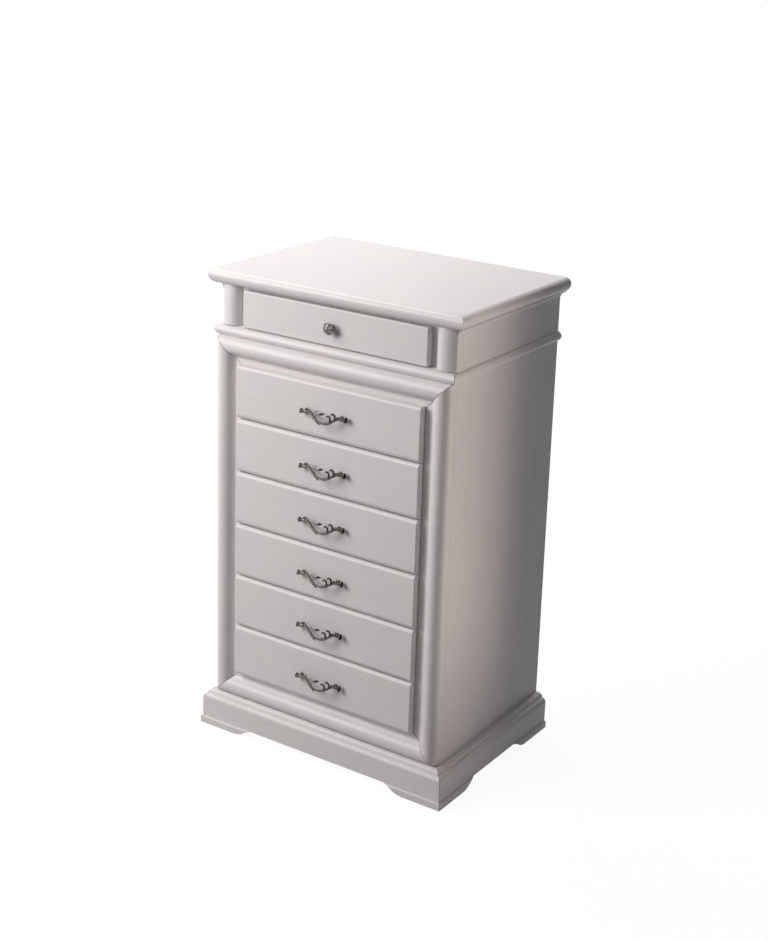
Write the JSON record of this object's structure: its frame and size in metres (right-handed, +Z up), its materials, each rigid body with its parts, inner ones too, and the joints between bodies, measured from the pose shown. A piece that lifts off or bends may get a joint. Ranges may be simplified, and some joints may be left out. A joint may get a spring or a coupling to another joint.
{
  "type": "semainier",
  "caption": "Tall narrow chest of drawers in off-white lacquer, with a shallow frieze drawer, a moulded frame round the lower drawers and dark bow pulls.",
  "frame": {"origin": "on the floor, under the middle of the whole chest, pulls included", "axes": "+X to the right as one faces the drawers, +Y to the back, +Z up"},
  "size_m": [0.7, 0.511, 1.15],
  "materials": {
    "lacquer": "satin",
    "plain_wood": "matte",
    "thin_board": "matte",
    "pull_metal": "antique"
  },
  "bodies": {
    "case": {"side_panel_left": "lacquer", "side_panel_right": "lacquer", "back_panel": "thin_board", "bottom_board": "plain_wood", "waist_board": "plain_wood", "top_board": "lacquer", "case_stiles": "lacquer", "drawer_rails": "lacquer", "drawer_runners": "plain_wood", "frame_moulding_left": "lacquer", "frame_moulding_right": "lacquer", "frame_moulding_top": "lacquer", "frame_moulding_bottom": "lacquer", "waist_moulding_front": "lacquer", "waist_moulding_left": "lacquer", "waist_moulding_right": "lacquer", "frieze_moulding_left": "lacquer", "frieze_moulding_right": "lacquer", "top_cove_left": "lacquer", "top_cove_right": "lacquer", "base_moulding_front": "lacquer", "base_moulding_left": "lacquer", "base_moulding_right": "lacquer", "plinth_front": "lacquer", "plinth_left": "lacquer", "plinth_right": "lacquer", "plinth_back": "plain_wood", "corner_blocks": "plain_wood", "foot_front_left": "lacquer", "foot_front_right": "lacquer", "foot_back_left": "lacquer", "foot_back_right": "lacquer"},
    "frieze_drawer": {"frieze_drawer_front": "lacquer", "frieze_drawer_box": "plain_wood", "frieze_drawer_bottom": "thin_board", "frieze_drawer_knob": "pull_metal"},
    "drawer_1": {"drawer_1_front": "lacquer", "drawer_1_box": "plain_wood", "drawer_1_bottom": "thin_board", "drawer_1_pull": "pull_metal"},
    "drawer_2": {"drawer_2_front": "lacquer", "drawer_2_box": "plain_wood", "drawer_2_bottom": "thin_board", "drawer_2_pull": "pull_metal"},
    "drawer_3": {"drawer_3_front": "lacquer", "drawer_3_box": "plain_wood", "drawer_3_bottom": "thin_board", "drawer_3_pull": "pull_metal"},
    "drawer_4": {"drawer_4_front": "lacquer", "drawer_4_box": "plain_wood", "drawer_4_bottom": "thin_board", "drawer_4_pull": "pull_metal"},
    "drawer_5": {"drawer_5_front": "lacquer", "drawer_5_box": "plain_wood", "drawer_5_bottom": "thin_board", "drawer_5_pull": "pull_metal"},
    "drawer_6": {"drawer_6_front": "lacquer", "drawer_6_box": "plain_wood", "drawer_6_bottom": "thin_board", "drawer_6_pull": "pull_metal"}
  },
  "joints": [
    {"name": "frieze_drawer_slide", "type": "slide", "parent": "case", "child": "frieze_drawer", "axis": [0, -1, 0], "range_m": [0, 0.3]},
    {"name": "drawer_1_slide", "type": "slide", "parent": "case", "child": "drawer_1", "axis": [0, -1, 0], "range_m": [0, 0.3]},
    {"name": "drawer_2_slide", "type": "slide", "parent": "case", "child": "drawer_2", "axis": [0, -1, 0], "range_m": [0, 0.3]},
    {"name": "drawer_3_slide", "type": "slide", "parent": "case", "child": "drawer_3", "axis": [0, -1, 0], "range_m": [0, 0.3]},
    {"name": "drawer_4_slide", "type": "slide", "parent": "case", "child": "drawer_4", "axis": [0, -1, 0], "range_m": [0, 0.3]},
    {"name": "drawer_5_slide", "type": "slide", "parent": "case", "child": "drawer_5", "axis": [0, -1, 0], "range_m": [0, 0.3]},
    {"name": "drawer_6_slide", "type": "slide", "parent": "case", "child": "drawer_6", "axis": [0, -1, 0], "range_m": [0, 0.3]}
  ]
}
